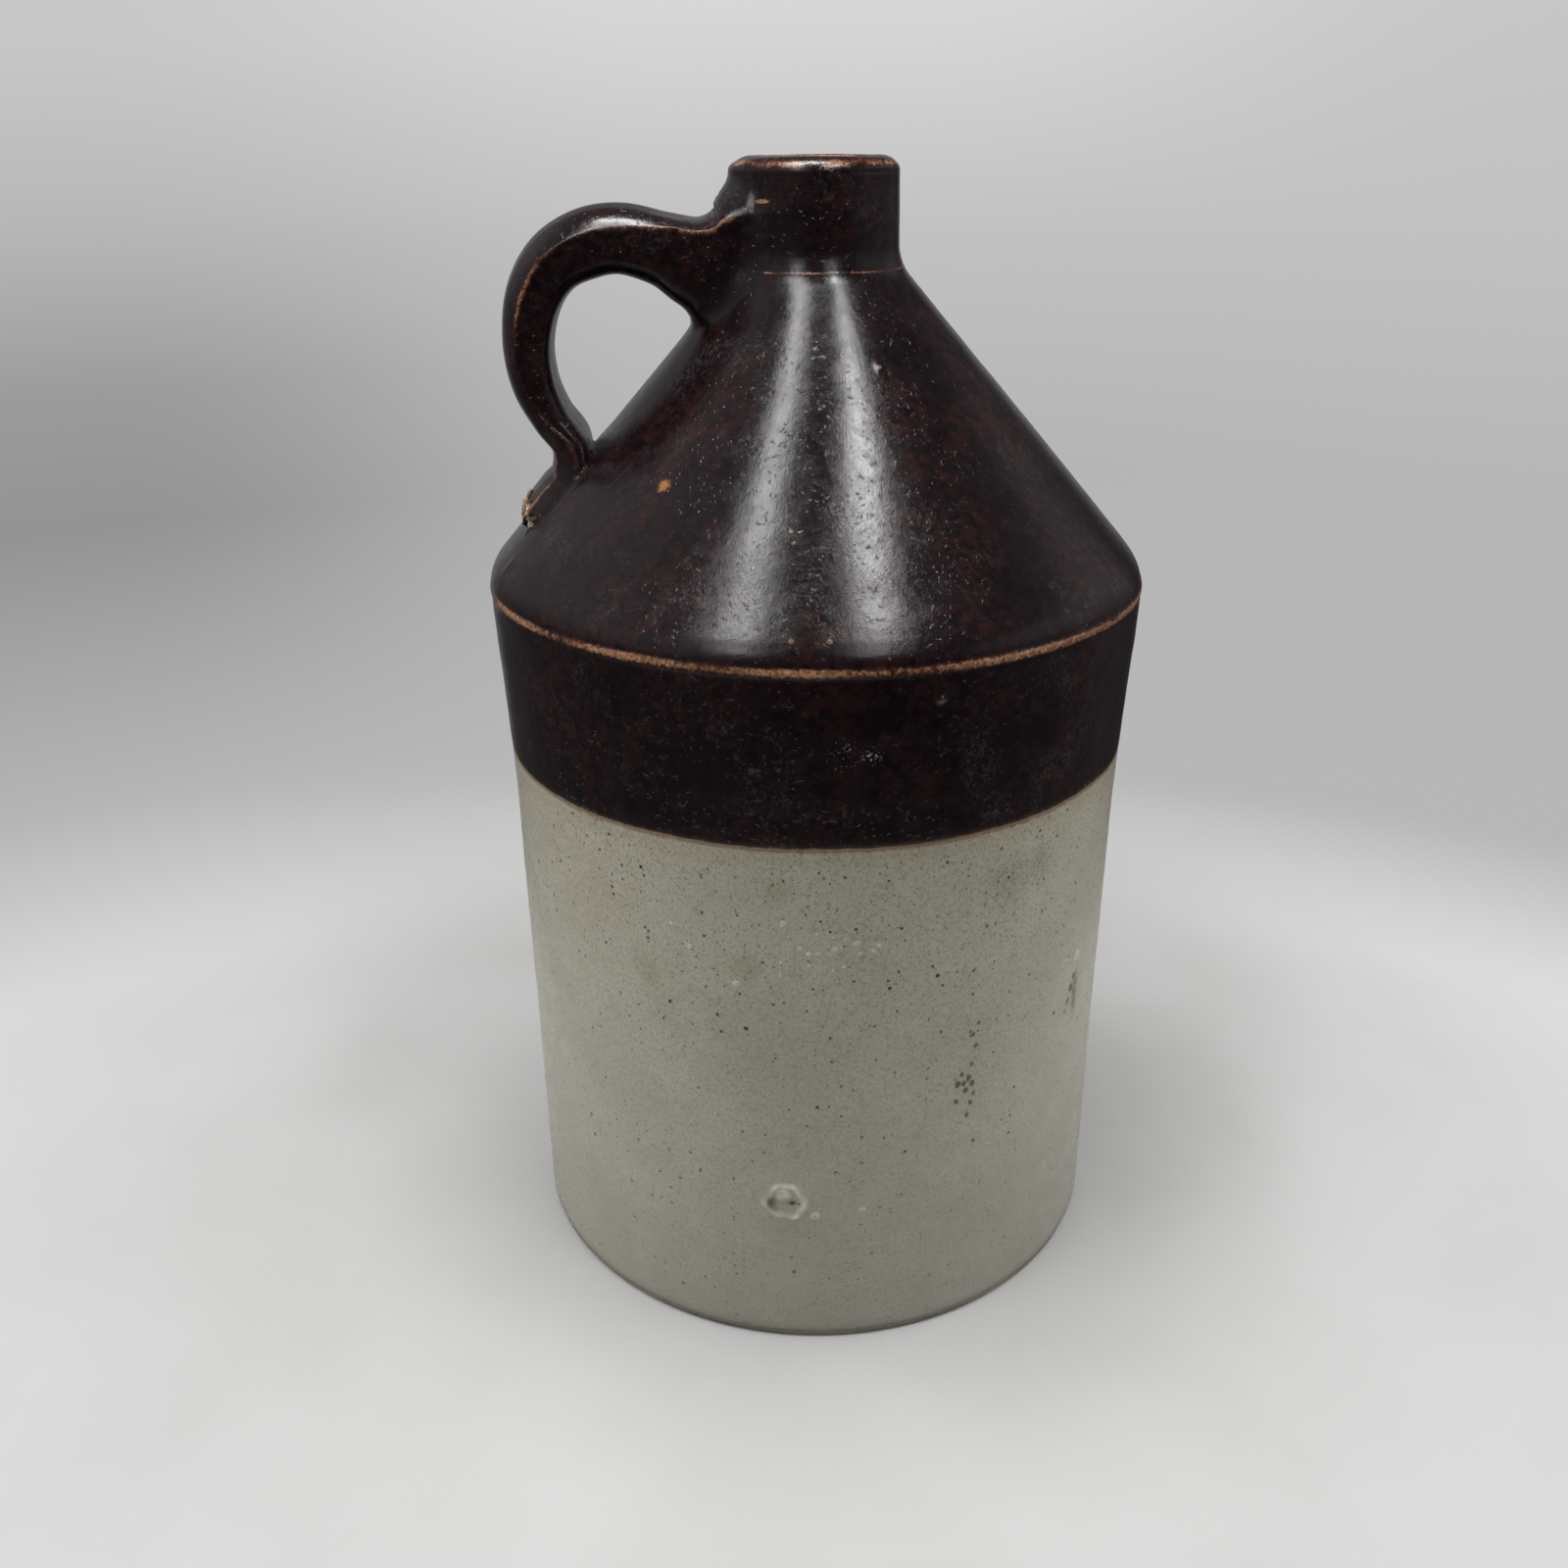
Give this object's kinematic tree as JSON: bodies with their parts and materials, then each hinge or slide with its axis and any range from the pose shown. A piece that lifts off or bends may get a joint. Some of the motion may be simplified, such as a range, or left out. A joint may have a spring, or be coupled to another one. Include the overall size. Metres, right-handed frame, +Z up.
{
  "type": "stoneware crock jug",
  "caption": "Shouldered stoneware jug with a cylindrical crock, conical shoulder, short open neck and a pulled strap handle, dark slip above and pale glaze below.",
  "frame": {"origin": "middle of the foot ring, on the surface that the jug stands on", "axes": "+Z up along the axis of the vessel; the handle stands out towards -X; the picture looks roughly along +Y"},
  "size_m": [0.176, 0.176, 0.3],
  "materials": {
    "bare_clay": "matte, unglazed fired stoneware",
    "brown_slip": "glossy dark brown slip glaze that breaks to tan on edges",
    "pale_glaze": "semi-gloss pale grey glaze with fine dark specks",
    "lining_slip": "glossy brown slip lining"
  },
  "bodies": {
    "root": {"crock_body": "bare_clay", "shoulder_cone": "bare_clay", "neck_collar": "bare_clay", "handle": "brown_slip", "brown_glaze": "brown_slip", "pale_glaze": "pale_glaze", "inner_glaze": "lining_slip"}
  },
  "joints": []
}
